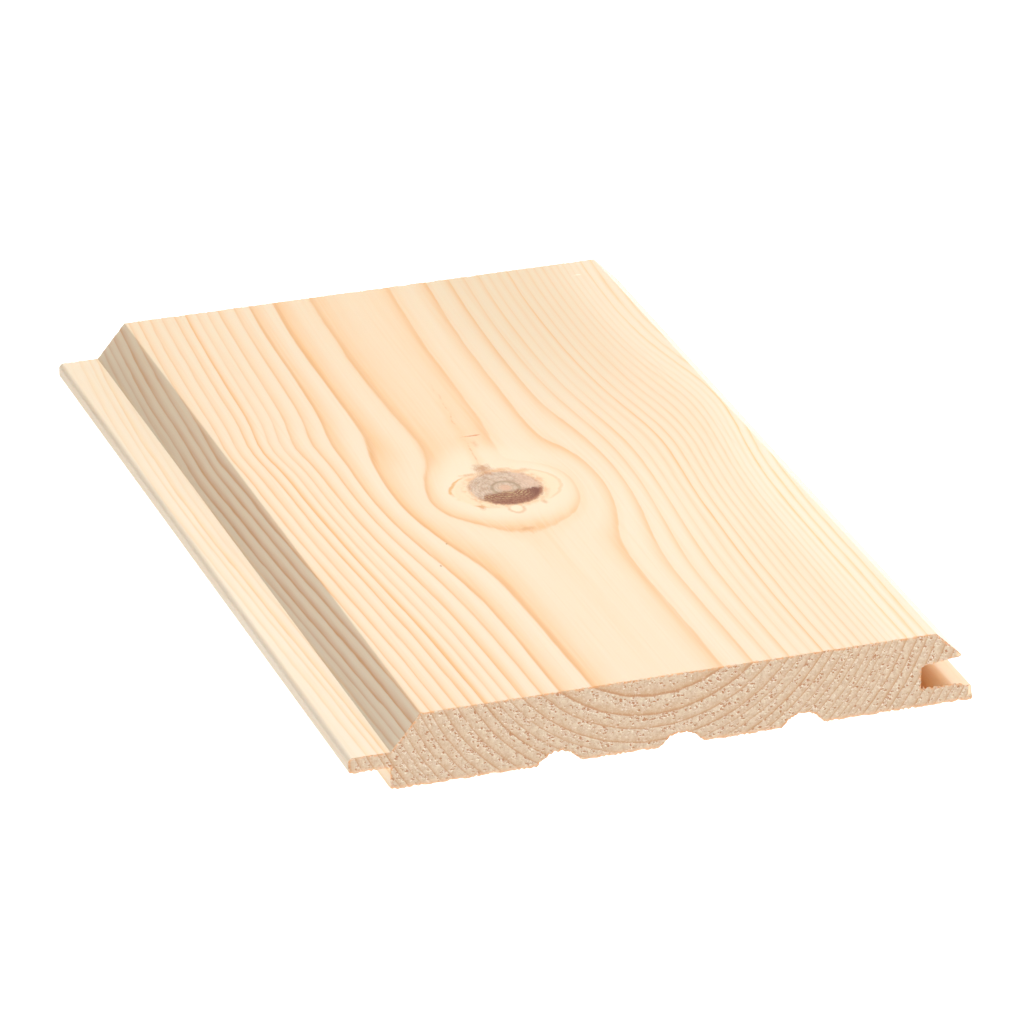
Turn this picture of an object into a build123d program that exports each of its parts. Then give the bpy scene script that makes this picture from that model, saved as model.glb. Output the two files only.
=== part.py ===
from build123d import *
from math import cos, radians, tan
import os

# One length of tongue-and-groove softwood cladding, laid on its back with the face up.
# X runs across the board from the tongue (-X) to the groove (+X), Y runs along the
# grain, Z points out of the face. The origin is in the middle of the back. Millimetres.

# Board
length = 223.0                # between the two saw cuts
overall_width = 145.0         # tongue tip to lower lip tip
thickness = 17.5              # back to face
arris = 0.5                   # eased corner along every long planed edge

# Tongue
tongue_length = 9.6           # from the shoulder below it to its tip
tongue_thickness = 3.9
tongue_underside = 5.35       # height above the back
tongue_nose = 1.1             # rounding on both tip corners

# V joint on the face: one side slopes down to the tongue, the other to the upper lip
tongue_bevel_angle = 50.0     # degrees from the face
lip_bevel_angle = 44.5        # degrees from the face
v_floor = 2.3                 # strip of the next board's tongue left showing in the V

# Groove, sized from the tongue that it takes
tip_gap = 2.6                 # left beyond the tongue's tip
gap_over = 0.35               # above the tongue, where the boards are kept flush
gap_under = 0.95              # below the tongue
upper_lip_rise = 1.4          # how far the groove's top side opens out to its mouth
lower_lip_fall = 0.7          # how far its bottom side drops to the lip's tip
lower_lip_nose = 1.0          # rounding on the lip that meets the next shoulder
groove_corner = 0.4           # cutter radius in the groove's two inner corners

# Relief grooves in the back, cut with a round-nosed V cutter so that the board stays flat
relief_count = 3
relief_pitch = 28.3
relief_shift = 0.7            # row of grooves off the middle of the back, towards the tongue
relief_width = 10.3
relief_angle = 45.0           # degrees from the back
relief_nose = 5.3             # radius of the cutter's nose

# Stations across the board
tongue_tip_x = -overall_width / 2
lip_tip_x = overall_width / 2
shoulder_x = tongue_tip_x + tongue_length
cover_width = overall_width - tongue_length
groove_floor_x = tongue_tip_x + cover_width - tip_gap
upper_lip_x = shoulder_x + cover_width - v_floor

# Heights
tongue_top = tongue_underside + tongue_thickness
groove_bottom = tongue_underside - gap_under
groove_top = tongue_top + gap_over
upper_lip_z = groove_top + upper_lip_rise

# Edges of the flat face
face_left_x = shoulder_x + (thickness - tongue_top) / tan(radians(tongue_bevel_angle))
face_right_x = upper_lip_x - (thickness - upper_lip_z) / tan(radians(lip_bevel_angle))

# Relief cutter: where its straight flanks would meet if the nose were not rounded
relief_apex = relief_width / 2 * tan(radians(relief_angle))
relief_depth = relief_apex - relief_nose * (1 / cos(radians(relief_angle)) - 1)
relief_row_x = (shoulder_x + lip_tip_x) / 2 - relief_shift

with BuildPart() as cladding_board:
    # Planed section
    with BuildSketch(Plane.XZ):
        with BuildLine():
            Polyline(
                (shoulder_x, 0),
                (lip_tip_x, 0),
                (lip_tip_x, groove_bottom - lower_lip_fall),
                (groove_floor_x, groove_bottom),
                (groove_floor_x, groove_top),
                (upper_lip_x, upper_lip_z),
                (face_right_x, thickness),
                (face_left_x, thickness),
                (shoulder_x, tongue_top),
                (tongue_tip_x, tongue_top),
                (tongue_tip_x, tongue_underside),
                (shoulder_x, tongue_underside),
                close=True,
            )
        make_face()
    extrude(amount=length / 2, both=True)

    # Rounded long edges
    long_edges = cladding_board.edges().filter_by(Axis.Y)
    tongue_tip = long_edges.group_by(Axis.X)[0]
    lip_tip = long_edges.group_by(Axis.X)[-1].sort_by(Axis.Z)
    upper_lip = long_edges.filter_by_position(Axis.X, upper_lip_x - 0.01, upper_lip_x + 0.01)
    face_corners = long_edges.group_by(Axis.Z)[-1]
    back_corners = long_edges.group_by(Axis.Z)[0]
    groove_corners = long_edges.filter_by_position(
        Axis.X, groove_floor_x - 0.01, groove_floor_x + 0.01
    )
    fillet(tongue_tip, tongue_nose)
    fillet(lip_tip[-1], lower_lip_nose)
    fillet(groove_corners, groove_corner)
    fillet(upper_lip + face_corners + back_corners, arris)

    # Relief grooves along the back
    with BuildSketch(Plane.XZ) as relief:
        with Locations((relief_row_x, 0)):
            with GridLocations(relief_pitch, 0, relief_count, 1):
                Polygon(
                    (-relief_width / 2, 0),
                    (relief_width / 2, 0),
                    (0, relief_apex),
                    align=None,
                )
        fillet(relief.vertices().group_by(Axis.Y)[-1], relief_nose)
    extrude(amount=length / 2, both=True, mode=Mode.SUBTRACT)
    relief_edges = cladding_board.edges().filter_by(Axis.Y).filter_by_position(
        Axis.X,
        shoulder_x + 2 * arris,
        lip_tip_x - 2 * arris,
    )
    fillet(relief_edges.group_by(Axis.Z)[0], arris)

cladding_board.part.label = "cladding_board"

os.makedirs("parts", exist_ok=True)
export_step(cladding_board.part, "parts/cladding_board.step")
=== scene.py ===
import math

import bpy
import numpy as np
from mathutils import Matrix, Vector, geometry, noise


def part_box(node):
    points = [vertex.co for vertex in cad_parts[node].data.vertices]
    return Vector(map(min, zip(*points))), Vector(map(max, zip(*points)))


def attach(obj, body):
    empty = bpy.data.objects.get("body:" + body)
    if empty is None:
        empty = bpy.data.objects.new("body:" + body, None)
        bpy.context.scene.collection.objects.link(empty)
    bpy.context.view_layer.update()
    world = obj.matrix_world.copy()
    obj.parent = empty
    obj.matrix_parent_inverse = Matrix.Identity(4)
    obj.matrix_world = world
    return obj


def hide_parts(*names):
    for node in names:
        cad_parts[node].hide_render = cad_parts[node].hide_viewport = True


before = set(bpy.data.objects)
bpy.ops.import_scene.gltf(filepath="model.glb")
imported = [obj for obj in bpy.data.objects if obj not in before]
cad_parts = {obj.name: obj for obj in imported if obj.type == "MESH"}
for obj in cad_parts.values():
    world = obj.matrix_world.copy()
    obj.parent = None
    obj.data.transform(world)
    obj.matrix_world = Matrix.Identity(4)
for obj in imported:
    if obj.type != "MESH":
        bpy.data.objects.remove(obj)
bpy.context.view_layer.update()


# The board: one length of planed pine with a tongue, a groove and three relief
# cuts, run through a moulder along its length and sawn square at both ends.
# Sizes are in millimetres: x from the tongue's tip, y from the near end, z from
# the back.

low_corner, high_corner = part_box("cladding_board")
width = (high_corner.x - low_corner.x) * 1000
length = (high_corner.y - low_corner.y) * 1000
thickness = (high_corner.z - low_corner.z) * 1000

# Planed section, walked round once from the near end of the solid

rim_spacing = 0.55


def section_outline(solid):
    """Corner points of the near end, in order, as (x, z) in millimetres."""
    mesh = solid.data
    middle = Vector((width / 2, length / 2, 0))
    place = [v.co * 1000 + middle for v in mesh.vertices]
    key = [(round(p[0], 3), round(p[2], 3)) for p in place]
    count = {}
    for face in mesh.polygons:
        if all(abs(place[i][1]) < 1e-3 for i in face.vertices):
            ring = list(face.vertices)
            for a, b in zip(ring, ring[1:] + ring[:1]):
                pair = frozenset((key[a], key[b]))
                if len(pair) == 2:
                    count[pair] = count.get(pair, 0) + 1
    beside = {}
    for pair, times in count.items():
        if times == 1:
            a, b = tuple(pair)
            beside.setdefault(a, []).append(b)
            beside.setdefault(b, []).append(a)
    start = min(beside)
    walk = [start, max(beside[start])]
    while walk[-1] != start:
        a, b = beside[walk[-1]]
        walk.append(b if a == walk[-2] else a)
    return np.array(walk[:-1])


def evenly(points, spacing):
    """The same closed outline with its long runs divided into short ones."""
    out = []
    for a, b in zip(points, np.roll(points, -1, axis=0)):
        n = max(1, int(math.ceil(np.hypot(*(b - a)) / spacing)))
        out += [a + (b - a) * i / n for i in range(n)]
    return np.array(out)


def turned_left(points):
    """The outline with the wood on its left-hand side."""
    x, z = points.T
    area = np.sum(x * np.roll(z, -1) - np.roll(x, -1) * z)
    return points if area > 0 else points[::-1]


corners = turned_left(section_outline(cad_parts["cladding_board"]))
outline = evenly(corners, rim_spacing)
runs = np.roll(corners, -1, axis=0) - corners
upright = (abs(runs[:, 0]) < 0.01) & (abs(runs[:, 1]) > 2) & (corners[:, 0] > 100)
groove_floor = np.min(corners[upright][:, 0])

# Growth rings: the log's heart lies above the face, so the face cuts the rings
# flat and shows their lines; round the knot every ring swells outwards. The
# lists hold each ring's distance from the heart, to the left and to the right.

heart_left = [0, 6.5, 12, 17.2, 22.3, 27.6, 32.2, 35.3, 38.7, 41.1, 43.4, 45.9, 48.4, 51.3, 54.1, 56.8]
heart_right = [
    0, 6.5, 12, 18.4, 22.4, 28.0, 32.4, 35.5, 38.8, 40.9, 43.1, 45.3,
    47.5, 49.7, 51.5, 53.4, 55.3, 56.9, 58.4, 59.8, 61.1, 62.9, 65.2, 67.5,
]
ring_count = 40
late_years = 30
narrow_left, narrow_right = 2.0, 2.15
year_luck = np.random.default_rng(7).uniform(0.72, 1.28, late_years)
narrow_years = np.cumsum(year_luck)
rings_left = np.concatenate([heart_left, heart_left[-1] + narrow_left * narrow_years])[:ring_count]
rings_right = np.concatenate([heart_right, heart_right[-1] + narrow_right * narrow_years])[:ring_count]

heart_across, heart_over = 70.6, 21.85
heart_step, step_y, step_reach = 1.3, 113, 30.5
knot_x, knot_y = 71.8, 103.6
knot_radius = 8.2
knot_lean = 0.10
branch_root = 21.6
swelling = 7.9

# Smaller swells: how far, where from the knot, and half their width and length

uneven_swell = (
    (1.45, -42.3, 38.7, 14, 11),
    (-1.3, -13, -14, 7, 9),
    (0.5, 7, -20, 8, 8),
    (-1.0, -18, 6, 5, 8),
    (0.5, -11, 22, 6, 8),
    (5.0, 64.5, 36, 14, 28.5),
    (2.3, 47, 14.5, 15, 23),
)


def heart(y):
    """Where the log's heart runs: across the board, and height over its face."""
    t = y / length
    across = heart_across - 2.36 * t - 0.5 * t ** 2 + 5.2 * t ** 5
    over = heart_over - 0.73 * t - heart_step * np.tanh((y - step_y) / step_reach)
    return across, over


def ring_age(x, y, z):
    """Years from the heart: a whole number where one year's wood ends."""
    across, over = heart(y)
    dx = x - across
    depth = over + thickness - z
    kx = x - knot_x
    ky = y - knot_y + 0.8 - knot_lean * (thickness - z)
    reach = 3.2 + 1.15 * np.hypot(kx, 8.3)
    reach = reach * np.where(ky > 0, np.clip(np.abs(kx) / 25.4, 0.66, 1.05), 1.0)
    swell = swelling / (1 + (kx / 30) ** 2) * np.exp(-(ky / reach) ** 2)
    for rise, at_x, at_y, half_across, half_along in uneven_swell:
        swell = swell + rise * np.exp(-((kx - at_x) / half_across) ** 2 - ((ky - at_y) / half_along) ** 2)
    r = np.hypot(dx, depth) - swell
    side = 0.5 + 0.5 * np.clip(1.3 * dx / np.hypot(dx, depth), -1, 1)
    years = np.arange(len(rings_left))
    return np.interp(r, rings_left, years) * (1 - side) + np.interp(r, rings_right, years) * side


def knot_place(x, y, z):
    """Offset from the branch's own middle line at that depth, across and along."""
    grown = ((branch_root + thickness - z) / branch_root) ** 0.35
    kx = (x - knot_x) / grown
    ky = (y - knot_y - knot_lean * (thickness - z)) / grown * 0.9
    return kx, ky


def fibre_place(x, y, z):
    """Which fibre a point lies on: fibres part round the knot and join again."""
    across, over = heart(y)
    kx = x - knot_x
    ky = y - knot_y - knot_lean * (thickness - z)
    parting = 1 - knot_radius ** 2 / np.maximum(kx ** 2 + ky ** 2, knot_radius ** 2)
    return kx * parting - (across - 70.4) * 0.6


# Saw cuts: rough ends, torn deeper in the soft early wood, frayed along the rim

least_cut, pit_depth, grain_depth, early_depth = 0.03, 0.14, 0.02, 0.04


def rough_cut(x, z, y_end, seed, coarse):
    """How far the saw left each point of an end below its highest point."""
    age = ring_age(x, np.full(len(x), y_end), z)
    part = age - np.floor(age)
    out = np.zeros(len(x))
    for i, (px, pz, pa, fr) in enumerate(zip(x, z, age, part)):
        around = math.atan2(px - 70, 40 - pz) * 30
        tear = noise.noise(Vector((around * 0.5, pa * 2.6, seed)))
        speck = noise.noise(Vector((px * 1.7, pz * 1.7, seed + 9)))
        fine = noise.noise(Vector((px * 4.6, pz * 4.6, seed + 17)))
        early = max(0.0, 1 - fr ** 1.6)
        pit = max(0.0, tear * 0.9 + speck * 0.9 - 0.2) * early
        torn = pit_depth * min(pit, 0.9) * coarse
        out[i] = least_cut + torn + grain_depth * (fine + 0.6) + early_depth * early
    return np.clip(out, 0.0, 0.5)


def frayed(points, seed, most):
    """How far the saw broke away the rim at each outline point."""
    out = np.zeros(len(points))
    for i, (px, pz) in enumerate(points):
        slow = noise.noise(Vector((px * 0.35, pz * 0.35, seed)))
        quick = noise.noise(Vector((px * 1.9, pz * 1.9, seed + 3)))
        out[i] = max(0.0, 0.25 + 0.7 * slow + 0.8 * quick)
    return most * np.clip(out, 0.03, 1.3)


x_rim, z_rim = outline.T
outward = np.roll(outline, -1, axis=0) - np.roll(outline, 1, axis=0)
outward = np.stack([outward[:, 1], -outward[:, 0]], axis=1)
outward /= np.linalg.norm(outward, axis=1)[:, None]
below = np.clip(-outward[:, 1], 0, 1) * (z_rim < 12)
near_fray = frayed(outline, seed=2.0, most=0.13) * (1 + 2.6 * below)
far_fray = frayed(outline, seed=40.0, most=0.16)

# The saw chipped the tips of both lips and left a burr on the lower one

upper_chip, lower_chip = 0.12, 0.35


def chipped(x, z):
    """How far back the tips of the two lips are broken away at the near end."""
    upper = np.clip((x - upper_tip + 1.9) / 1.9, 0, 1) * (z > lower_lip_top + 2)
    lower = np.clip((x - width + 1.2) / 1.2, 0, 1) * (z > 1)
    return upper_chip * upper + lower_chip * lower * (upper == 0)


is_lip = (corners[:, 0] > groove_floor + 2) & (corners[:, 1] > 3)
lower_lip_top = np.min(corners[is_lip][:, 1])
upper_tip = np.max(corners[corners[:, 1] > 9][:, 0])
at_upper_tip = np.clip((x_rim - upper_tip + 1.5) / 1.0, 0, 1) * (z_rim > lower_lip_top + 2)
near_fray *= 1 - 0.8 * at_upper_tip
near_lip_top = abs(z_rim - lower_lip_top - 0.8) < 0.75
on_lower_lip = (x_rim > groove_floor + 0.3) & near_lip_top & (outward[:, 1] > 0.7)
burr = np.zeros(len(outline))
for i in np.flatnonzero(on_lower_lip):
    burr[i] = max(0.0, 0.5 + 1.1 * noise.noise(Vector((x_rim[i] * 2.3, 5.0, 8.0))))
    burr[i] *= min(1.0, max(0.0, width - 2.0 - x_rim[i]))

# Rows along the board, closer at the cuts and past the knot

rows_at_cut = [0.0, 0.35, 0.8, 1.5, 2.8]
knot_rows_apart, rows_apart = 1.6, 5.2
knot_span = 30
rows = list(rows_at_cut)
while rows[-1] < length - 6:
    rows.append(rows[-1] + (knot_rows_apart if abs(rows[-1] - knot_y) < knot_span else rows_apart))
rows = [y for y in rows if y < length - 4] + [length - y for y in reversed(rows_at_cut)]
rows = np.array(rows)

across_n = len(outline)
sides = np.zeros((len(rows), across_n, 3))
fray_reach = 1.6
for j, y in enumerate(rows):
    fade_near = max(0.0, 1 - y / fray_reach) ** 1.5
    fade_far = max(0.0, 1 - (length - y) / fray_reach) ** 1.5
    pull = near_fray * fade_near + far_fray * fade_far
    sides[j, :, 0] = x_rim - outward[:, 0] * pull
    sides[j, :, 2] = z_rim - outward[:, 1] * pull + burr * fade_near
    sides[j, :, 1] = np.maximum(y, chipped(x_rim, z_rim) + 0.06 * j) if y < 3 else y
sides[0, :, 1] += near_fray * 0.9
sides[-1, :, 1] = length - far_fray * 0.9


def inside_points(loop, spacing):
    """A honeycomb of points inside the loop, clear of its edge."""
    lo, hi = loop.min(axis=0), loop.max(axis=0)
    rows_n = int((hi[1] - lo[1]) / (spacing * 0.866)) + 1
    cols_n = int((hi[0] - lo[0]) / spacing) + 1
    rise, run = np.meshgrid(np.arange(rows_n), np.arange(cols_n), indexing="ij")
    px = lo[0] + (run + 0.5 * (rise % 2)) * spacing
    pz = lo[1] + rise * spacing * 0.866
    pts = np.stack([px.ravel(), pz.ravel()], axis=1)
    pts += np.random.default_rng(3).uniform(-0.18, 0.18, pts.shape) * spacing
    a, b = loop, np.roll(loop, -1, axis=0)
    crossings = np.zeros(len(pts), bool)
    nearest = np.full(len(pts), 1e9)
    for (ax, az), (bx, bz) in zip(a, b):
        if az != bz:
            hit = (az > pts[:, 1]) != (bz > pts[:, 1])
            at = ax + (pts[:, 1] - az) / (bz - az) * (bx - ax)
            crossings ^= hit & (pts[:, 0] < at)
        run_x, run_z = bx - ax, bz - az
        along = ((pts[:, 0] - ax) * run_x + (pts[:, 1] - az) * run_z) / (run_x ** 2 + run_z ** 2 + 1e-12)
        along = np.clip(along, 0, 1)
        gap = np.hypot(pts[:, 0] - ax - along * run_x, pts[:, 1] - az - along * run_z)
        nearest = np.minimum(nearest, gap)
    keep = crossings & (nearest > spacing * 0.55)
    return pts[keep], nearest[keep]


def cut_face(loop, y_end, spacing, seed, coarse):
    """Points and triangles of one sawn end; the first points are the rim's."""
    pts, gap = inside_points(loop, spacing)
    flat = [Vector(p) for p in np.concatenate([loop, pts])]
    ring = list(range(len(loop)))
    _, _, faces, origin, _, _ = geometry.delaunay_2d_cdt(flat, [], [ring], 1, 1e-7)
    back_to = [o[0] for o in origin]
    tris = [[back_to[i] for i in f] for f in faces]
    depth = rough_cut(pts[:, 0], pts[:, 1], y_end, seed, coarse)
    return pts, tris, depth, gap


near_spacing, far_spacing = 0.30, 0.52
near_rim, far_rim = sides[0][:, [0, 2]], sides[-1][:, [0, 2]]
near_pts, near_tris, near_depth, near_gap = cut_face(near_rim, 0.0, near_spacing, seed=1.0, coarse=1.0)
far_pts, far_tris, far_depth, far_gap = cut_face(far_rim, length, far_spacing, seed=31.0, coarse=0.8)
near_chip = chipped(near_pts[:, 0], near_pts[:, 1])

# One mesh: the long sides first, then the points of both cuts

points = sides.reshape(-1, 3)
near_first = len(points)
far_first = near_first + len(near_pts)
points = np.concatenate([
    points,
    np.stack([near_pts[:, 0], near_depth + near_chip, near_pts[:, 1]], axis=1),
    np.stack([far_pts[:, 0], length - far_depth, far_pts[:, 1]], axis=1),
])
last_row = (len(rows) - 1) * across_n

side_quads = []
for j in range(len(rows) - 1):
    for i in range(across_n):
        k = (i + 1) % across_n
        row, next_row = j * across_n, (j + 1) * across_n
        side_quads.append((row + i, row + k, next_row + k, next_row + i))
near_faces = [tuple(i if i < across_n else near_first + i - across_n for i in t) for t in near_tris]
far_faces = [
    tuple(last_row + i if i < across_n else far_first + i - across_n for i in reversed(t)) for t in far_tris
]


def facing(face, axis):
    """Which way a face looks along an axis: its sign."""
    a, b, c = (points[i] for i in face[:3])
    return np.cross(b - a, c - a)[axis]


if facing(near_faces[0], 1) > 0:
    near_faces = [tuple(reversed(f)) for f in near_faces]
if facing(far_faces[0], 1) < 0:
    far_faces = [tuple(reversed(f)) for f in far_faces]
probe = side_quads[int(np.argmax(z_rim))]
if facing(probe, 2) < 0:
    side_quads = [tuple(reversed(f)) for f in side_quads]

metres = (points - [width / 2, length / 2, 0]) / 1000
board_mesh = bpy.data.meshes.new("board")
board_mesh.from_pydata(metres.tolist(), [], side_quads + near_faces + far_faces)
board = bpy.data.objects.new("board", board_mesh)
bpy.context.scene.collection.objects.link(board)
is_cut = np.zeros(len(board_mesh.polygons), np.int32)
is_cut[len(side_quads):] = 1
board_mesh.polygons.foreach_set("material_index", is_cut)
board_mesh.polygons.foreach_set("use_smooth", np.ones(len(is_cut), bool))
board_mesh.set_sharp_from_angle(angle=math.radians(38))

# What the materials need to know at each point


def keep_number(name, values):
    """Give the board one number a point, under that name."""
    numbers = board_mesh.attributes.new(name, "FLOAT", "POINT")
    numbers.data.foreach_set("value", values.astype(np.float32))


def keep_place(name, *values):
    """Give the board one place a point, under that name."""
    stacked = np.stack(values, axis=1).astype(np.float32)
    places = board_mesh.attributes.new(name, "FLOAT_VECTOR", "POINT")
    places.data.foreach_set("vector", stacked.ravel())


px, py, pz = points.T
keep_number("ring_age", ring_age(px, py, pz))
keep_number("from_rim", np.concatenate([np.zeros(near_first), near_gap, far_gap]))
keep_number("cut_depth", np.concatenate([np.zeros(near_first), near_depth, far_depth]))
keep_number("chip", np.concatenate([np.zeros(near_first), near_chip, np.zeros(len(far_pts))]))
keep_number("heart_side", np.clip(0.5 + (px - 70) / 30, 0, 1))
kx, ky = knot_place(px, py, pz)
keep_place("knot_place", kx, ky, pz)
keep_place("fibre_place", fibre_place(px, py, pz), py, pz)
across_heart, over_heart = heart(py)
off_heart, under_heart = px - across_heart, over_heart + thickness - pz
mean_ring = 40
around = np.arctan2(off_heart, under_heart) * mean_ring
keep_place("turn_place", around, np.hypot(off_heart, under_heart), py)

# How far a point stands above the wood's lower side, and how much painted shade falls on it in the groove:
# the upper lip's shadow, darker further in

tongue_under = np.min(corners[corners[:, 0] < 5][:, 1])
lower_side = np.where(px < 9, tongue_under, 0.0)
keep_number("from_below", pz - lower_side)
in_groove = (pz > lower_lip_top - 0.4) & (pz < thickness - 5)
# Painted shadow: a step where the upper lip's tip casts its shadow, darker further in, and a light shade all
# through the groove
lip_shadow = np.clip((upper_tip - 1.4 - px) / 0.6, 0, 1) * (0.5 + 0.5 * np.clip((upper_tip - px) / 9, 0, 1))
lip_shadow = np.maximum(lip_shadow, 0.2)
keep_number("painted_groove_shade", lip_shadow * np.clip((px - groove_floor + 2) / 2, 0, 1) * in_groove)

# Unwrapped once round for the sides, with the two cuts laid flat above them

run = np.concatenate([[0], np.cumsum(np.hypot(*(np.roll(outline, -1, axis=0) - outline).T))])
seen_weight = np.where(outward[:, 1] > 0.3, 1.0, 0.5)
seen_weight = np.where((z_rim < 1) | (outward[:, 0] > 0.9), 0.42, seen_weight)
weighted = np.concatenate([[0], np.cumsum(np.diff(run) * seen_weight)])
weighted *= 0.99 / weighted[-1]
uv_layer = board_mesh.uv_layers.new(name="OFBake")
uv = np.zeros((len(board_mesh.loops), 2), np.float32)
loop_vertex = np.zeros(len(board_mesh.loops), np.int32)
board_mesh.loops.foreach_get("vertex_index", loop_vertex)
uv_edge, side_share = 0.005, 0.74
n_side_loops = len(side_quads) * 4
column = loop_vertex[:n_side_loops] % across_n
row = loop_vertex[:n_side_loops] // across_n
quad_column = np.repeat(np.tile(np.arange(across_n), len(rows) - 1), 4)
wrapped = (quad_column == across_n - 1) & (column == 0)
uv[:n_side_loops, 0] = uv_edge + np.where(wrapped, weighted[-1], weighted[column])
uv[:n_side_loops, 1] = uv_edge + rows[row] / length * (side_share - 0.01)
cut_loops = loop_vertex[n_side_loops:]
cut_scale = 0.99 / width
is_near = (np.arange(len(cut_loops)) < len(near_faces) * 3)
near_cut_from, far_cut_from = side_share + 0.004, side_share + 0.132
uv[n_side_loops:, 0] = uv_edge + px[cut_loops] * cut_scale
uv[n_side_loops:, 1] = np.where(is_near, near_cut_from, far_cut_from) + pz[cut_loops] * cut_scale
uv_layer.data.foreach_set("uv", uv.ravel())


# Bare planed pine: pale early wood, amber late wood with a sharp outer edge,
# fine fibre streaks along the grain and one knot


class Strand:
    """One value of a material's node tree, which can stand in a sum like a number."""

    def __init__(self, nodes, socket):
        self.nodes = nodes
        self.socket = socket

    def __add__(self, other):
        return self.nodes.math("ADD", self, other)

    def __radd__(self, other):
        return self.nodes.math("ADD", other, self)

    def __sub__(self, other):
        return self.nodes.math("SUBTRACT", self, other)

    def __rsub__(self, other):
        return self.nodes.math("SUBTRACT", other, self)

    def __mul__(self, other):
        return self.nodes.math("MULTIPLY", self, other)

    def __truediv__(self, other):
        return self.nodes.math("DIVIDE", self, other)

    def __pow__(self, other):
        return self.nodes.math("POWER", self, other)

    def __abs__(self):
        return self.nodes.math("ABSOLUTE", self)


class Nodes:
    """A short way to write a material's node tree."""

    def __init__(self, name):
        self.material = bpy.data.materials.new(name)
        self.material.use_nodes = True
        self.tree = self.material.node_tree
        self.tree.nodes.clear()

    def new(self, kind):
        return self.tree.nodes.new("ShaderNode" + kind)

    def out(self, node, output=0):
        return Strand(self, node.outputs[output])

    def put(self, socket, value):
        if isinstance(value, Strand):
            self.tree.links.new(value.socket, socket)
        elif value is not None:
            socket.default_value = value

    def math(self, operation, a, b=None, c=None):
        node = self.new("Math")
        node.operation = operation
        for socket, value in zip(node.inputs, (a, b, c)):
            self.put(socket, value)
        return self.out(node)

    def far(self, x, y):
        """How far a point lies from the middle of x and y."""
        return self.math("SQRT", x * x + y * y)

    def attribute(self, name, output="Fac"):
        node = self.new("Attribute")
        node.attribute_name = name
        return self.out(node, output)

    def spot(self):
        """Where a point is on the board, in metres from its middle."""
        return self.out(self.new("TexCoord"), "Object")

    def parts(self, vector):
        node = self.new("SeparateXYZ")
        self.put(node.inputs[0], vector)
        return [Strand(self, socket) for socket in node.outputs]

    def together(self, x, y, z):
        node = self.new("CombineXYZ")
        for socket, value in zip(node.inputs, (x, y, z)):
            self.put(socket, value)
        return self.out(node)

    def places(self, operation, vector, by):
        node = self.new("VectorMath")
        node.operation = operation
        self.put(node.inputs[0], vector)
        self.put(node.inputs[1], by)
        return self.out(node)

    def scaled(self, vector, by):
        return self.places("MULTIPLY", vector, by)

    def moved(self, vector, by):
        return self.places("ADD", vector, by)

    def noise(self, vector, detail=2.0, roughness=0.5):
        node = self.new("TexNoise")
        self.put(node.inputs["Vector"], vector)
        node.inputs["Scale"].default_value = 1.0
        node.inputs["Detail"].default_value = detail
        node.inputs["Roughness"].default_value = roughness
        return self.out(node, "Fac")

    def spots(self, vector):
        """Scattered round spots: distance from the nearest one, its luck and its size."""
        node = self.new("TexVoronoi")
        node.inputs["Scale"].default_value = 1.0
        self.put(node.inputs["Vector"], vector)
        drawn = self.parts(self.out(node, "Color"))
        return self.out(node, "Distance"), drawn[0], drawn[1]

    def through(self, value, interpolation, stops):
        """The height that a value has among (position, height) stops."""
        node = self.new("ValToRGB")
        node.color_ramp.interpolation = interpolation
        points = node.color_ramp.elements
        while len(points) < len(stops):
            points.new(0.5)
        for point, (at, height) in zip(points, stops):
            point.position = at
            point.color = (height, height, height, 1)
        self.put(node.inputs[0], value)
        return self.out(node)

    def ramp(self, value, *stops):
        return self.through(value, "LINEAR", stops)

    def steps(self, value, heights):
        """One height a year, with no blending from one year to the next."""
        stops = [((n - 0.5) / late_years if n else 0.0, height) for n, height in enumerate(heights)]
        return self.through(value, "CONSTANT", stops)

    def between(self, value, start, end):
        """0 before start, 1 after end, smooth in between."""
        node = self.new("MapRange")
        node.interpolation_type = "SMOOTHSTEP"
        self.put(node.inputs["Value"], value)
        self.put(node.inputs["From Min"], start)
        self.put(node.inputs["From Max"], end)
        return self.out(node, "Result")

    def mix(self, amount, a, b, blend="MIX"):
        node = self.new("Mix")
        node.data_type = "RGBA"
        node.blend_type = blend
        self.put(node.inputs[0], amount)
        self.put(node.inputs[6], a)
        self.put(node.inputs[7], b)
        return self.out(node, 2)

    def shaded(self, amount, color, shade):
        """The colour seen through a tint, by an amount."""
        return self.mix(amount, color, self.mix(1.0, color, shade, "MULTIPLY"))

    def bump(self, height, strength, distance):
        node = self.new("Bump")
        node.inputs["Strength"].default_value = strength
        node.inputs["Distance"].default_value = distance
        self.put(node.inputs["Height"], height)
        return self.out(node)

    def finish(self, color, roughness, normal, glow):
        shader = self.new("BsdfPrincipled")
        output = self.new("OutputMaterial")
        self.put(shader.inputs["Base Color"], color)
        self.put(shader.inputs["Roughness"], roughness)
        self.put(shader.inputs["Normal"], normal)
        shader.inputs["Specular IOR Level"].default_value = 0.3
        shader.inputs["Subsurface Weight"].default_value = glow
        shader.inputs["Subsurface Radius"].default_value = (1.0, 0.42, 0.16)
        shader.inputs["Subsurface Scale"].default_value = 0.0012
        self.tree.links.new(shader.outputs[0], output.inputs[0])
        return self.material


def paint(red, green, blue):
    """A colour as it is seen, from 0 to 255 a channel, as the shader wants it."""
    linear = [(c / 255 / 12.92) if c < 10 else ((c / 255 + 0.055) / 1.055) ** 2.4 for c in (red, green, blue)]
    return (*linear, 1.0)


sapwood_cream = paint(240, 225, 203)
early_peach = paint(236, 216, 189)
inner_blush = paint(236, 212, 181)
late_amber = paint(238, 187, 133)
late_straw = paint(238, 196, 132)
late_brown = paint(218, 174, 136)
late_edge = paint(216, 156, 100)
far_shade = paint(240, 236, 229)
corner_shade = paint(241, 239, 233)

# How dark each year's line is, from the heart outwards

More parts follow.
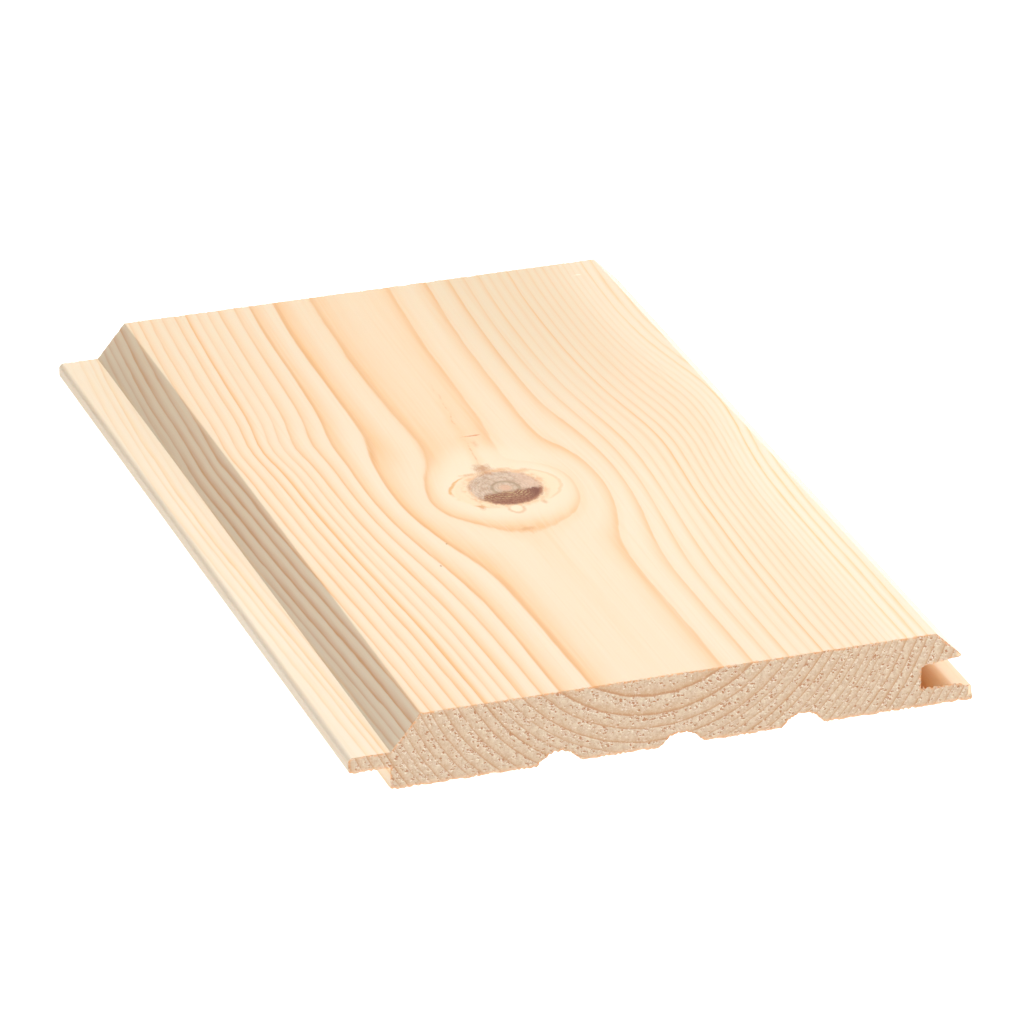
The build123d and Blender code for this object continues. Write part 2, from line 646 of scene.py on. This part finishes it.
year_depth = (
    0.6, 0.6, 0.6, 0.7, 0.85, 0.75, 0.55, 0.58, 0.36, 0.38, 0.85, 0.6, 0.45, 0.52, 0.48,
    0.42, 0.5, 0.42, 0.26, 0.28, 0.8, 0.62, 0.62, 0.5, 0.6, 0.45, 0.55, 0.5,
)

wood = Nodes("planed_pine")
fibre = wood.attribute("fibre_place", "Vector")
age_here = wood.attribute("ring_age")
spot = wood.parts(wood.spot())
from_tip = wood.math("MULTIPLY_ADD", spot[0], 1000.0, width / 2)
from_end = wood.math("MULTIPLY_ADD", spot[1], 1000.0, length / 2)
from_back = spot[2] * 1000.0
on_face = wood.between(from_back, 16.3, 17.2)
side = wood.attribute("heart_side")

# One year's wood runs from 0 to 1; its dark line is strong on the sloped edge,
# weak on the tongue and in the outermost wood, and sharpest at its outer side

slow_sway = wood.noise(wood.scaled(fibre, (0.10, 0.018, 0.10)), detail=2.0)
quick_sway = wood.noise(wood.scaled(fibre, (0.6, 0.045, 0.6)), detail=3.0, roughness=0.6)
loose = 0.12 + wood.between(age_here, 8.0, 18.0) * 0.3
age = age_here + (slow_sway - 0.5) * 0.1 + (quick_sway - 0.5) * loose
year = wood.math("FLOOR", age)
part = wood.math("FRACT", age)
outer = wood.between(age_here, 15.0, 22.0)
strength = wood.steps(year / late_years, year_depth) * (1.05 - side * 0.2)
patchy = wood.noise(wood.scaled(fibre, (0.5, 0.02, 0.5)), detail=3.0)
strength = strength * (0.6 + patchy * 0.8)
shelf = wood.between(wood.parts(wood.attribute("turn_place", "Vector"))[1], 72.0, 76.0)
strength = strength * (1.0 - shelf * 0.72)
on_slope = wood.between(from_back, 9.6, 10.2) * wood.between(from_back, 17.3, 16.7)
on_slope = on_slope * wood.between(from_tip, 18.0, 17.0)
strength = strength * (1.0 + on_slope * 0.55)
on_tongue = wood.between(from_tip, 9.8, 9.4)
strength = strength * (1.0 - on_tongue * 0.5)
nearer = wood.between(age_here, 5.5, 8.0) * wood.between(from_end, 170.0, 110.0)
strength = strength * (1.0 + nearer * 0.45)
thin = side + wood.between(age_here, 5.5, 7.5) * 0.3
narrower = part ** (1.0 + thin)
late_rise = (0.25, 0.0), (0.5, 0.3), (0.8, 0.85), (0.95, 1.0), (1.0, 0.4)
late = wood.ramp(narrower, (0.0, 0.25), (0.05, 0.0), *late_rise) * strength
crisp = 1.0 - side * 0.5 - wood.between(age_here, 5.5, 8.0) * 0.35
edge = wood.ramp(part, (0.0, 0.1), (0.03, 0.0), (0.82, 0.0), (0.95, 1.0), (1.0, 0.3))
edge = edge * strength * crisp

# The colours, palest first: clear wood, the lines, fine streaks along the grain,
# then the shade of the far end and of its right-hand corner

streaks = wood.noise(wood.scaled(fibre, (1.7, 0.022, 1.7)), detail=4.0, roughness=0.6)
cloud = wood.noise(wood.scaled(fibre, (0.06, 0.02, 0.06)), detail=3.0)
color = wood.mix(wood.between(age_here, 5.3, 3.4), early_peach, inner_blush)
color = wood.mix(outer, color, sapwood_cream)
color = wood.mix(cloud * 0.4, color, inner_blush)
late_here = wood.mix(on_slope, wood.mix(outer, late_amber, late_straw), late_brown)
color = wood.mix(late * 0.95, color, late_here)
color = wood.mix(edge * 0.6, color, late_edge)
color = wood.mix(wood.between(streaks, 0.5, 0.75) * 0.16, color, late_amber)
color = wood.mix(wood.between(streaks, 0.5, 0.28) * 0.14, color, sapwood_cream)
deeper = wood.between(from_end, 60.0, 240.0) * 0.55
color = wood.shaded(deeper, color, far_shade)
corner = wood.between(from_end, 80.0, 200.0) * wood.between(from_tip, 78.0, 104.0)
corner = corner * (1.0 - wood.between(from_tip, 110.0, 130.0) * 0.6)
color = wood.shaded(corner * 0.6, color, corner_shade)

# The knot: an old branch cut across, grey above and dark brown below, with a
# pale collar round it and broken amber traces of the ring that first held it

collar_cream = paint(238, 219, 191)
held_honey = paint(240, 210, 166)
trace_amber = paint(222, 166, 104)
halo_tan = paint(228, 180, 138)
driftwood, pale_driftwood = paint(188, 156, 130), paint(212, 186, 162)
worn_fibre = paint(226, 204, 180)
branch_ring = paint(166, 136, 112)
pink_grey = paint(222, 184, 158)
pith_ring, pith = paint(156, 130, 100), paint(217, 174, 144)
knot_brown, knot_russet, knot_umber = paint(136, 86, 64), paint(158, 108, 82), paint(126, 76, 58)
knot_fleck = paint(196, 166, 120)
bark_rust = paint(206, 150, 112)
ring_pace = 8.4
pith_reach = 3.1
oval_middle, oval_half = (71.9, 103.5), (12.9, 10.4)

branch = wood.attribute("knot_place", "Vector")
place_x, place_y, _ = wood.parts(branch)
jitter = wood.noise(wood.scaled(branch, (0.3, 0.3, 0.1)), detail=4.0, roughness=0.6)
blotch = wood.noise(wood.scaled(branch, (0.75, 0.55, 0.1)), detail=4.0, roughness=0.65)
grit = wood.noise(wood.scaled(branch, (2.6, 1.6, 0.2)), detail=3.0, roughness=0.7)
reach = wood.far(place_x, place_y)
worn = reach + (jitter - 0.5) * 3.0
flattened = place_y + wood.math("MAXIMUM", place_y, 0.0) * -0.3
collar_reach = wood.far(place_x, flattened)
collar = wood.between(collar_reach, 18.5, 11.5) * 0.75
color = wood.mix(collar, color, collar_cream)
oval_x = (from_tip - oval_middle[0]) / oval_half[0]
oval_y = (from_end - oval_middle[1]) / oval_half[1]
oval = wood.far(oval_x, oval_y) + (jitter - 0.5) * 0.14
trace = wood.between(abs(oval - 1.0), 0.05, 0.01)
trace = trace * wood.between(abs(oval_x), 0.45, 0.75)
broken = wood.between(wood.noise(wood.scaled(branch, (0.12, 0.12, 0.0)), detail=3.0), 0.36, 0.5)
trace = trace * (1.0 - wood.between(oval_x, -0.3, 0.3) * 0.6)
trace = trace * broken * on_face
within = wood.between(oval, 1.04, 0.94) * on_face
color = wood.mix(within * 0.35, color, held_honey)
color = wood.mix(trace * 0.8, color, trace_amber)
halo = wood.between(worn, 10.6, 8.4) * wood.between(blotch, 0.4, 0.6)
color = wood.mix(halo * 0.85, color, halo_tan)

# Inside the branch: weathered grey wood, its own fine rings, a pink pith, and
# brown wood with straw-coloured flecks in the lower third

core = wood.between(reach + (blotch - 0.5) * 3.2, 8.9, 7.9)
growth = wood.math("SINE", (reach + jitter * 3.0) * ring_pace)
grey_wood = wood.mix(wood.between(blotch, 0.36, 0.62), driftwood, pale_driftwood)
grey_wood = wood.mix(wood.between(grit, 0.42, 0.7) * 0.6, grey_wood, worn_fibre)
grey_wood = wood.mix(wood.between(growth, -0.1, 0.9) * 0.26, grey_wood, branch_ring)
grey_wood = wood.mix(wood.between(place_x, 2.0, 6.0) * 0.5, grey_wood, pink_grey)
inner_line = wood.between(abs(reach - pith_reach), 0.75, 0.1)
grey_wood = wood.mix(inner_line * 0.6, grey_wood, pith_ring)
grey_wood = wood.mix(wood.between(reach, 2.1, 0.8) * 0.8, grey_wood, pith)
dark_wood = wood.mix(wood.between(grit, 0.38, 0.62), knot_brown, knot_russet)
dark_wood = wood.mix(wood.between(place_x, 2.5, 6.5), dark_wood, knot_umber)
fleck = wood.between(growth, 0.3, 0.9) * wood.between(grit, 0.34, 0.5)
fleck = fleck * wood.between(place_x, 6.0, 2.5)
fleck = fleck * wood.between(place_y, -6.4, -4.0)
dark_wood = wood.mix(fleck * 0.85, dark_wood, knot_fleck)
lower = place_x * 0.02 - place_y + (blotch - 0.5) * 2.6 + (grit - 0.5) * 3.0
lower = lower - wood.between(place_x, -5.2, -7.6) * 3.0
knot_color = wood.mix(wood.between(lower, 1.0, 2.4), grey_wood, dark_wood)
bark = wood.between(reach, 7.3, 8.5) * (wood.between(blotch, 0.62, 0.4) * 0.55)
knot_color = wood.mix(bark, knot_color, bark_rust)
color = wood.mix(core, color, knot_color)

# Marks on the face: resin smudges round the knot, a short cross crack, two pin
# specks and a pale one, a small bud and the seam that runs up from the knot.
# Each mark has its place, half its width and length, its depth and its colour.

resin_brown = paint(176, 124, 90)
resin_patch = paint(188, 134, 94)
stain = paint(216, 160, 112)
crack_rust = paint(214, 132, 88)
pale_speck = paint(248, 240, 226)
bud_cream = paint(238, 220, 190)
bud_middle, bud_half = (70.6, 92.2), (1.7, 2.2)
seam_foot, seam_slant = (70.4, 118.0), 0.088
marks = (
    (70.2, 115.0, 2.4, 3.4, 0.8, resin_patch),
    (73.4, 113.4, 3.4, 1.1, 0.55, stain),
    (66.0, 113.0, 2.4, 1.0, 0.6, stain),
    (78.6, 111.6, 2.2, 1.2, 0.5, stain),
    (63.3, 95.4, 1.0, 1.7, 0.8, stain),
    (77.9, 93.8, 0.8, 1.5, 0.65, stain),
    (69.3, 81.2, 2.4, 1.1, 0.55, stain),
    (74.0, 133.5, 2.5, 0.45, 0.85, crack_rust),
    (73.0, 129.0, 0.8, 2.6, 0.4, stain),
    (49.4, 79.4, 0.3, 0.45, 0.9, resin_brown),
    (44.4, 68.8, 0.28, 0.4, 0.8, resin_brown),
    (129.0, 215.0, 1.0, 0.4, 0.6, pale_speck),
)
uneven = (grit + blotch - 1.0) * 1.5
for mark_x, mark_y, half_across, half_along, depth, tint in marks:
    off_x = (from_tip - mark_x) / half_across
    off_y = (from_end - mark_y) / half_along
    off = wood.far(off_x, off_y) + uneven
    amount = wood.between(off, 1.2, 0.1) * depth
    color = wood.mix(amount * on_face, color, tint)

bud_x = (from_tip - bud_middle[0]) / bud_half[0]
bud_y = (from_end - bud_middle[1]) / bud_half[1]
bud = wood.far(bud_x, bud_y) + uneven * 0.25
bud_line = wood.between(abs(bud - 1.0), 0.4, 0.05) * wood.between(bud_y, 0.9, 0.1)
color = wood.mix(wood.between(bud, 1.0, 0.6) * on_face, color, bud_cream)
color = wood.mix(bud_line * on_face * 0.5, color, stain)

wander = wood.noise(wood.scaled(branch, (0.0, 0.16, 0.0)), detail=3.0)
seam_x = seam_foot[0] + (from_end - seam_foot[1]) * seam_slant + (wander - 0.5) * 2.4
seam_off = abs(from_tip - seam_x)
seam_run = wood.between(from_end, 116.0, 119.0) * wood.between(from_end, 176.0, 140.0)
seam = wood.between(seam_off, 0.35, 0.05) * wood.between(blotch, 0.4, 0.62) * seam_run
seam_shade = wood.between(seam_off, 2.4, 0.1) * seam_run
color = wood.mix(seam_shade * on_face * 0.3, color, late_amber)
color = wood.mix(seam * on_face * 0.5, color, stain)

# Painted shade inside the groove: the upper lip's shadow and the dim, warm orange of a place that hardly sees
# light;
# the slope above it has painted light, and the rim of the near cut has torn fibres with a painted orange glow

groove_shade_amber, groove_inner_shade = paint(238, 188, 114), paint(230, 204, 176)
slope_highlight = paint(232, 222, 212)
torn_fibre_glow = paint(236, 178, 122)

# Painted shade in the groove, tinted warm orange, darkest furthest in
painted_groove_shade = wood.attribute("painted_groove_shade")
color = wood.shaded(painted_groove_shade, color, groove_shade_amber)
color = wood.shaded(wood.between(painted_groove_shade, 0.8, 1.0), color, groove_inner_shade)
# Painted light: the slope above the groove, which faces the lamp, is painted paler
lit_slope = wood.between(from_tip, 135.8, 136.4) * wood.between(from_back, 10.6, 11.2)
color = wood.mix(lit_slope * 0.5, color, slope_highlight)
# Torn fibres at the near end's rim, with a painted orange glow of light through them
rim_dots = wood.noise(wood.scaled(branch, (1.3, 1.3, 1.3)), detail=3.0, roughness=0.7)
end_glow = wood.between(from_end, 0.7, 0.1) * wood.between(rim_dots, 0.46, 0.62)
end_glow = end_glow * (0.3 + on_face * 0.5)
color = wood.mix(end_glow, color, torn_fibre_glow)

fibre_height = wood.noise(wood.scaled(fibre, (9.0, 0.12, 9.0)), detail=3.0, roughness=0.6)
height = fibre_height * 0.6 + late * 0.5 - core * growth * 0.5
dull = 0.52 + fibre_height * 0.16
planed_pine = wood.finish(color, dull, wood.bump(height, 0.35, 0.00006), glow=0.06)

# Sawn end grain: the same rings cut across, each a thin brown line with a tan
# shade on its inner side and rows of torn pits, with painted brown shadow, in the soft wood outside it

cut_tan, cut_cream = paint(215, 187, 158), paint(232, 212, 186)
ray_tan = paint(218, 184, 154)
shade_tan = paint(208, 163, 120)
line_brown = paint(192, 132, 88)

cut = Nodes("sawn_pine")
turn = cut.attribute("turn_place", "Vector")
here = cut.spot()
age_here = cut.attribute("ring_age")
sway = cut.noise(cut.scaled(turn, (0.22, 0.5, 0.0)), detail=4.0, roughness=0.6)
age = age_here + (sway - 0.5) * 0.2
year = cut.math("FLOOR", age)
part = cut.math("FRACT", age)
strength = 0.3 + cut.steps(year / late_years, year_depth) * 0.7
shade = cut.ramp(part, (0.0, 0.0), (0.25, 0.0), (0.65, 0.4), (0.92, 1.0), (1.0, 0.7)) * strength
line = cut.ramp(part, (0.0, 0.5), (0.05, 0.0), (0.86, 0.0), (0.95, 1.0), (1.0, 0.8)) * strength
soft = cut.ramp(part, (0.0, 0.5), (0.05, 1.0), (0.3, 0.85), (0.55, 0.3), (0.8, 0.05), (1.0, 0.0))
patch = cut.noise(cut.scaled(turn, (0.22, 0.45, 0.0)), detail=3.0)
pale = cut.noise(cut.scaled(here, (700.0, 0.0, 700.0)), detail=5.0, roughness=0.7)
rays = cut.noise(cut.scaled(turn, (6.0, 0.25, 0.0)), detail=2.0)
color = cut.mix(cut.between(pale, 0.36, 0.64), cut_tan, cut_cream)
color = cut.mix(cut.between(rays, 0.5, 0.75) * 0.2, color, ray_tan)
color = cut.mix(shade * 0.8, color, shade_tan)
color = cut.mix(line * 0.75, color, line_brown)

# Torn fibres: painted brown shadow in each hollow, with a painted highlight on a pale tuft beside it,
# thickest just outside each ring line. Their scales are in pits to the metre.

tuft_highlight_cream, pit_shadow_brown = paint(251, 239, 220), paint(184, 116, 64)
relief_shade_brown, relief_light_cream = paint(190, 140, 100), paint(248, 234, 212)
hollow_shade_brown = paint(178, 116, 72)
pits_a_metre = (1400.0, 1400.0, 1950.0)
shaken = 2.4
tuft_beside = (0.25, 0.0, 0.35)

shake_x = cut.noise(cut.scaled(here, (2600.0, 0.0, 2600.0)), detail=2.0)
shake_z = cut.noise(cut.scaled(here, (1900.0, 0.0, 3300.0)), detail=2.0)
shake = cut.scaled(cut.together(shake_x, 0.0, shake_z), (shaken, 0.0, shaken))
wriggle = cut.moved(cut.scaled(here, pits_a_metre), shake)
much = soft * (0.34 + cut.between(patch, 0.3, 0.52) * 0.94)
pit_off, pit_luck, pit_size = cut.spots(wriggle)
pit_edge = 0.3 + pit_size * 0.35
pits = cut.between(pit_off, pit_edge, pit_edge - 0.22) * cut.between(much - pit_luck, -0.05, 0.1)
tuft_off, tuft_luck, tuft_size = cut.spots(cut.moved(wriggle, tuft_beside))
tuft_edge = 0.35 + tuft_size * 0.3
lit_tufts = cut.between(tuft_off, tuft_edge, tuft_edge - 0.25) * cut.between(much - tuft_luck, -0.15, 0.05)
# Painted highlight on each tuft, then painted shadow in each pit
color = cut.mix(lit_tufts * 0.85, color, tuft_highlight_cream)
color = cut.mix(pits * 0.85, color, pit_shadow_brown)
# Painted shade and painted light following the fine saw relief that the bump also draws
fine_slope = cut.noise(cut.scaled(here, (2600.0, 0.0, 2600.0)), detail=3.0, roughness=0.7)
color = cut.mix(cut.between(fine_slope, 0.54, 0.7) * 0.5, color, relief_shade_brown)
color = cut.mix(cut.between(fine_slope, 0.46, 0.32) * 0.4, color, relief_light_cream)
# Painted shade: the deepest saw hollows are coloured brown as their shadow
hollow_shade = cut.between(cut.attribute("cut_depth"), 0.14, 0.26)
color = cut.mix(hollow_shade * 0.7, color, hollow_shade_brown)

# Frayed fibres along the rim, orange with a painted glow of light through them, the fresh chips
# of the lips and painted light that glows through the lowest edge

rim_fibre_glow, chip_cream, edge_glow = paint(236, 168, 110), paint(252, 226, 190), paint(248, 206, 168)

rim_dots = cut.noise(cut.scaled(here, (900.0, 0.0, 900.0)), detail=3.0, roughness=0.7)
# Frayed fibres along the rim, with a painted orange glow
frayed_glow = cut.between(cut.attribute("from_rim"), 0.8, 0.05) * cut.between(rim_dots, 0.43, 0.58)
color = cut.mix(frayed_glow * 0.75, color, rim_fibre_glow)
color = cut.mix(cut.between(cut.attribute("chip"), 0.03, 0.09), color, chip_cream)
glowing = cut.between(cut.attribute("from_below"), 1.4, 0.1)
color = cut.mix(glowing * 0.55, color, edge_glow)
height = fine_slope * 0.25 - pits * 0.4
sawn_pine = cut.finish(color, 0.85, cut.bump(height, 0.3, 0.00012), glow=0.08)

board_mesh.materials.append(planed_pine)
board_mesh.materials.append(sawn_pine)
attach(board, "root")
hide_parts("cladding_board")


# A white light table under the board, a broad soft lamp high on the right and
# behind, and pale light all round. None of it belongs to the board.

floor_mesh = bpy.data.meshes.new("floor")
half_floor = 3.0
floor_corners = [(x * half_floor, y * half_floor, 0) for x, y in ((-1, -1), (1, -1), (1, 1), (-1, 1))]
floor_mesh.from_pydata(floor_corners, [], [(0, 1, 2, 3)])
floor = bpy.data.objects.new("floor", floor_mesh)
floor.location.z = -0.0002
bpy.context.scene.collection.objects.link(floor)
table = Nodes("white_table")
table_shader = table.new("BsdfPrincipled")
table_output = table.new("OutputMaterial")
table_shader.inputs["Base Color"].default_value = (0.25, 0.25, 0.25, 1)
table_shader.inputs["Roughness"].default_value = 0.6
table_shader.inputs["Specular IOR Level"].default_value = 0.1
table_shader.inputs["Emission Color"].default_value = (1, 1, 1, 1)
table_shader.inputs["Emission Strength"].default_value = 1.25
table.tree.links.new(table_shader.outputs[0], table_output.inputs[0])
floor_mesh.materials.append(table.material)

world = bpy.data.worlds.new("room")
world.use_nodes = True
sky = world.node_tree
bright_way = sky.nodes.new("ShaderNodeVectorMath")
bright_way.operation = "DOT_PRODUCT"
bright_way.inputs[1].default_value = (0.52, 0.10, 0.85)
sky.links.new(sky.nodes.new("ShaderNodeTexCoord").outputs["Generated"], bright_way.inputs[0])
climb = sky.nodes.new("ShaderNodeMapRange")
climb.interpolation_type = "SMOOTHSTEP"
climb.inputs["From Min"].default_value = -0.3
climb.inputs["From Max"].default_value = 1.0
climb.inputs["To Min"].default_value = 0.1
climb.inputs["To Max"].default_value = 1.1
sky.links.new(bright_way.outputs["Value"], climb.inputs["Value"])
sky.links.new(climb.outputs["Result"], sky.nodes["Background"].inputs["Strength"])
sky.nodes["Background"].inputs["Color"].default_value = (0.97, 0.985, 1.0, 1)
bpy.context.scene.world = world

lamp_data = bpy.data.lights.new("soft_lamp", "AREA")
lamp_data.shape = "DISK"
lamp_data.size = 0.9
lamp_data.energy = 14
lamp_data.color = (1.0, 0.985, 0.96)
lamp = bpy.data.objects.new("soft_lamp", lamp_data)
lamp_from = Vector((0.34, 0.26, 0.90)).normalized()
lamp.location = lamp_from * 1.6
lamp.rotation_mode = "QUATERNION"
lamp.rotation_quaternion = lamp_from.to_track_quat("Z", "Y")
bpy.context.scene.collection.objects.link(lamp)

# Camera where the photograph was taken from

turn_deg, rise_deg = -19.19, 24.87
camera_away = 1.7807
photo_middle = (-0.003434, 0.001958)
aim = Vector((0, 0, 0.010))
a, e = math.radians(turn_deg), math.radians(rise_deg)
back = Vector((math.sin(a) * math.cos(e), -math.cos(a) * math.cos(e), math.sin(e)))
right = Vector((math.cos(a), math.sin(a), 0))
up = back.cross(right)
camera_data = bpy.data.cameras.new("camera")
camera_data.sensor_width = 36
camera_data.lens = 272.2
camera_data.clip_start, camera_data.clip_end = 0.05, 20
camera = bpy.data.objects.new("camera", camera_data)
camera.location = aim - right * photo_middle[0] - up * photo_middle[1] + back * camera_away
camera.rotation_mode = "QUATERNION"
camera.rotation_quaternion = back.to_track_quat("Z", "Y")
bpy.context.scene.collection.objects.link(camera)
bpy.context.scene.camera = camera
bpy.context.scene.view_settings.view_transform = "Standard"
